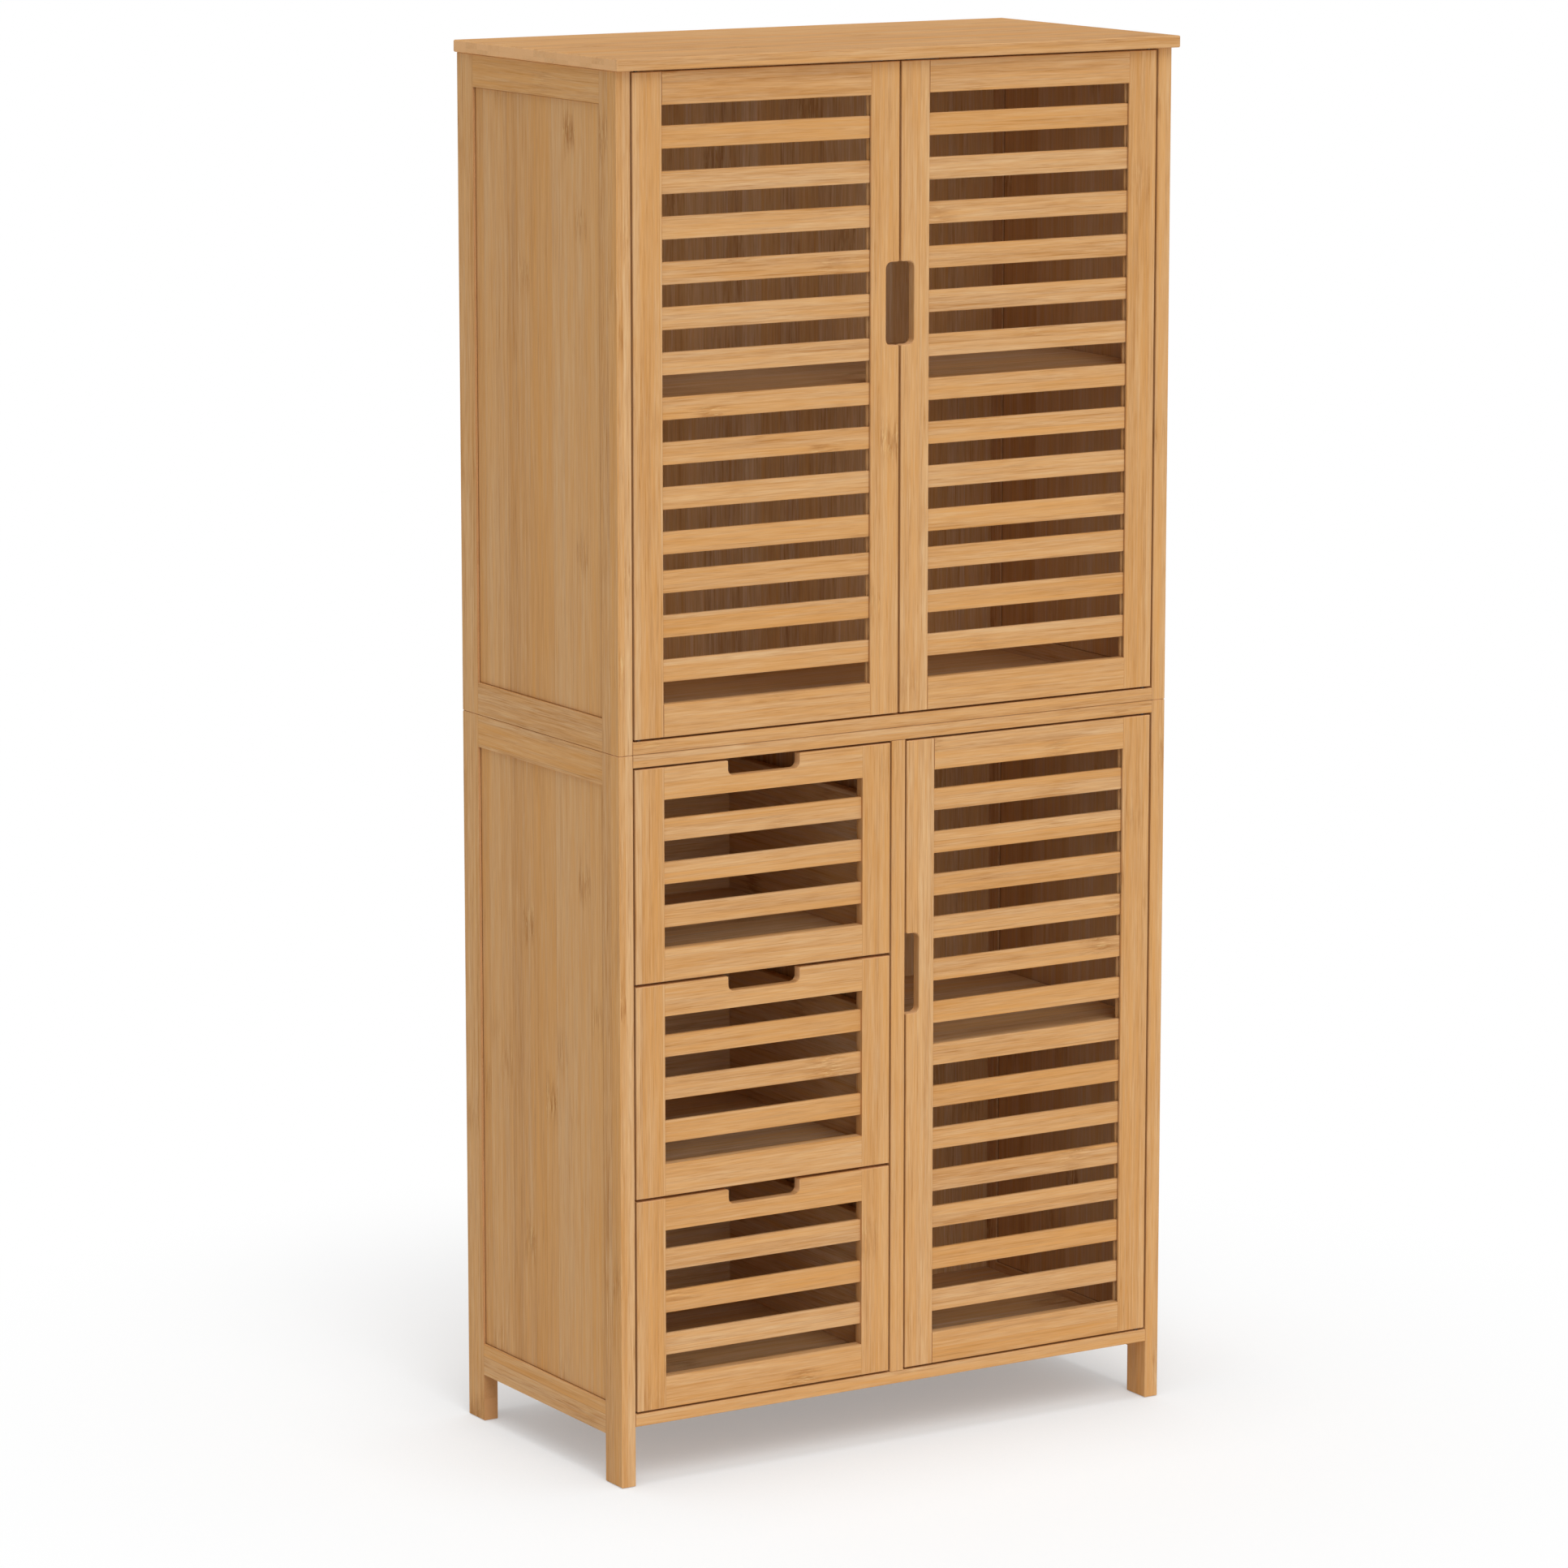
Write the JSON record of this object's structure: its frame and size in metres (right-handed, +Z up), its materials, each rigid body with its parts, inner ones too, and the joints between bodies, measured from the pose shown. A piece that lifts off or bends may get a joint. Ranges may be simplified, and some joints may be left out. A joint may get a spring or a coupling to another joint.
{
  "type": "tall bathroom cabinet",
  "caption": "Tall bamboo cabinet in stacked units: slatted doors above, slatted drawers beside a slatted door below, with finger notches, inner shelves and short square feet.",
  "frame": {"origin": "on the floor, under the middle of the top board", "axes": "+X towards the cabinet's right as its front is faced, -Y out of the front, +Z up"},
  "size_m": [0.6, 0.3, 1.3],
  "materials": {
    "bamboo_front": "satin",
    "bamboo_side": "satin",
    "bamboo_inside": "satin",
    "steel": "satin",
    "catch_plastic": "matte"
  },
  "bodies": {
    "cabinet": {"top_board": "bamboo_front", "upper_floor": "bamboo_front", "lower_top_board": "bamboo_front", "lower_floor": "bamboo_front", "divider": "bamboo_front", "upper_left_frame": "bamboo_side", "upper_left_panel": "bamboo_side", "upper_right_frame": "bamboo_side", "upper_right_panel": "bamboo_side", "lower_left_frame": "bamboo_side", "lower_left_panel": "bamboo_side", "lower_right_frame": "bamboo_side", "lower_right_panel": "bamboo_side", "upper_back_panel": "bamboo_inside", "lower_back_panel": "bamboo_inside", "upper_shelf": "bamboo_inside", "lower_shelf": "bamboo_inside", "top_drawer_left_runner": "bamboo_inside", "top_drawer_right_runner": "bamboo_inside", "middle_drawer_left_runner": "bamboo_inside", "middle_drawer_right_runner": "bamboo_inside", "left_door_top_pin": "steel", "left_door_bottom_pin": "steel", "right_door_top_pin": "steel", "right_door_bottom_pin": "steel", "lower_door_top_pin": "steel", "lower_door_bottom_pin": "steel", "left_door_catch": "catch_plastic", "right_door_catch": "catch_plastic", "lower_door_catch": "catch_plastic"},
    "left_door": {"left_door_hinge_stile": "bamboo_front", "left_door_handle_stile": "bamboo_front", "left_door_top_rail": "bamboo_front", "left_door_bottom_rail": "bamboo_front", "left_door_slats": "bamboo_front"},
    "right_door": {"right_door_hinge_stile": "bamboo_front", "right_door_handle_stile": "bamboo_front", "right_door_top_rail": "bamboo_front", "right_door_bottom_rail": "bamboo_front", "right_door_slats": "bamboo_front"},
    "lower_door": {"lower_door_hinge_stile": "bamboo_front", "lower_door_handle_stile": "bamboo_front", "lower_door_top_rail": "bamboo_front", "lower_door_bottom_rail": "bamboo_front", "lower_door_slats": "bamboo_front"},
    "top_drawer": {"top_drawer_front": "bamboo_front", "top_drawer_left_wall": "bamboo_inside", "top_drawer_right_wall": "bamboo_inside", "top_drawer_back_wall": "bamboo_inside", "top_drawer_bottom": "bamboo_inside"},
    "middle_drawer": {"middle_drawer_front": "bamboo_front", "middle_drawer_left_wall": "bamboo_inside", "middle_drawer_right_wall": "bamboo_inside", "middle_drawer_back_wall": "bamboo_inside", "middle_drawer_bottom": "bamboo_inside"},
    "bottom_drawer": {"bottom_drawer_front": "bamboo_front", "bottom_drawer_left_wall": "bamboo_inside", "bottom_drawer_right_wall": "bamboo_inside", "bottom_drawer_back_wall": "bamboo_inside", "bottom_drawer_bottom": "bamboo_inside"}
  },
  "joints": [
    {"name": "left_door_hinge", "type": "hinge", "parent": "cabinet", "child": "left_door", "pos_m": [-0.2737, -0.136, 0.9895], "axis": [0, 0, -1], "range_deg": [0, 110]},
    {"name": "right_door_hinge", "type": "hinge", "parent": "cabinet", "child": "right_door", "pos_m": [0.2737, -0.136, 0.9895], "axis": [0, 0, 1], "range_deg": [0, 110]},
    {"name": "lower_door_hinge", "type": "hinge", "parent": "cabinet", "child": "lower_door", "pos_m": [0.2737, -0.136, 0.367], "axis": [0, 0, 1], "range_deg": [0, 110]},
    {"name": "top_drawer_slide", "type": "slide", "parent": "cabinet", "child": "top_drawer", "axis": [0, -1, 0], "range_m": [0, 0.2]},
    {"name": "middle_drawer_slide", "type": "slide", "parent": "cabinet", "child": "middle_drawer", "axis": [0, -1, 0], "range_m": [0, 0.2]},
    {"name": "bottom_drawer_slide", "type": "slide", "parent": "cabinet", "child": "bottom_drawer", "axis": [0, -1, 0], "range_m": [0, 0.2]}
  ]
}
